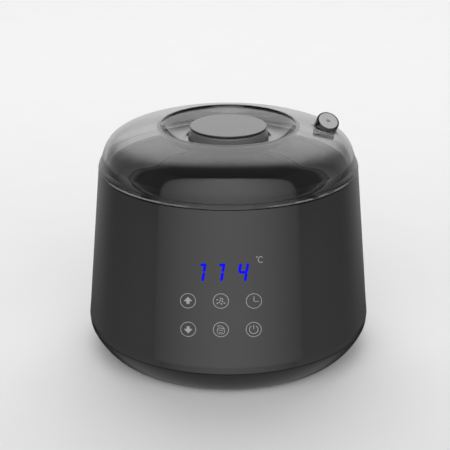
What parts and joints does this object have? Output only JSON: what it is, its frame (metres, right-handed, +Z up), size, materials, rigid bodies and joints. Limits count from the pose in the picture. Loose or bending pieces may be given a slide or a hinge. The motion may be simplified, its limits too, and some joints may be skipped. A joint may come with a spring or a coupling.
{
  "type": "wax warmer pot",
  "caption": "Tapered round electric wax warmer with a lift-out inner pot, a clear domed lid with a sunk knob and a steam vent, and a flush touch panel.",
  "frame": {"origin": "on the table, under the middle of the warmer", "axes": "+Z up, -Y towards the control panel, +X towards the side of the lid with the steam vent"},
  "size_m": [0.17, 0.17, 0.1441],
  "materials": {
    "body_gloss": "gloss",
    "deck_grey": "satin",
    "base_satin": "satin",
    "lid_clear": "clear gloss",
    "knob_grey": "satin gloss",
    "foot_rubber": "matte",
    "pot_coating": "dark non-stick coating",
    "cup_aluminium": "spun",
    "heater_cast": "cast",
    "screw_steel": "zinc plated",
    "spring_steel": "bright",
    "pin_brass": "plated",
    "sleeve_wool": "matte",
    "board_green": "solder mask",
    "component_black": "moulded",
    "transformer_tape": "tape",
    "relay_blue": "moulded",
    "capacitor_sleeve": "sleeved",
    "connector_nylon": "moulded",
    "lead_red": "silicone",
    "lead_white": "silicone",
    "ribbon_grey": "ribbon"
  },
  "bodies": {
    "base": {"body_shell": "body_gloss", "deck_ring": "deck_grey", "base_cover": "base_satin", "ac_inlet": "base_satin", "foot_1": "foot_rubber", "foot_2": "foot_rubber", "foot_3": "foot_rubber", "foot_4": "foot_rubber", "heater_cup": "cup_aluminium", "heating_plate": "heater_cast", "base_screw_1": "screw_steel", "base_screw_2": "screw_steel", "base_screw_3": "screw_steel", "base_screw_4": "screw_steel", "board_screw_1": "screw_steel", "board_screw_2": "screw_steel", "board_screw_3": "screw_steel", "board_screw_4": "screw_steel", "cup_screw_1": "screw_steel", "cup_screw_2": "screw_steel", "cup_screw_3": "screw_steel", "temperature_sensor": "screw_steel", "touch_spring_1": "spring_steel", "touch_spring_2": "spring_steel", "touch_spring_3": "spring_steel", "touch_spring_4": "spring_steel", "touch_spring_5": "spring_steel", "touch_spring_6": "spring_steel", "inlet_pin_1": "pin_brass", "inlet_pin_2": "pin_brass", "insulation_sleeve": "sleeve_wool", "control_board": "board_green", "power_board": "board_green", "thermal_cutoff": "component_black", "display_module": "component_black", "transformer": "transformer_tape", "relay": "relay_blue", "capacitor": "capacitor_sleeve", "mains_terminal": "connector_nylon", "heater_terminal": "connector_nylon", "heater_lead_1": "lead_red", "heater_lead_2": "lead_red", "mains_lead_1": "lead_white", "mains_lead_2": "lead_white", "sensor_lead": "lead_white", "ribbon_cable": "ribbon_grey"},
    "pot": {"inner_pot": "pot_coating"},
    "lid": {"lid_dome": "lid_clear", "lid_knob": "knob_grey", "knob_cap": "knob_grey", "knob_screw": "screw_steel"}
  },
  "joints": [
    {"name": "pot_lift", "type": "slide", "parent": "base", "child": "pot", "axis": [0, 0, 1], "range_m": [0, 0.12]},
    {"name": "lid_lift", "type": "slide", "parent": "pot", "child": "lid", "axis": [0, 0, 1], "range_m": [0, 0.1]}
  ]
}
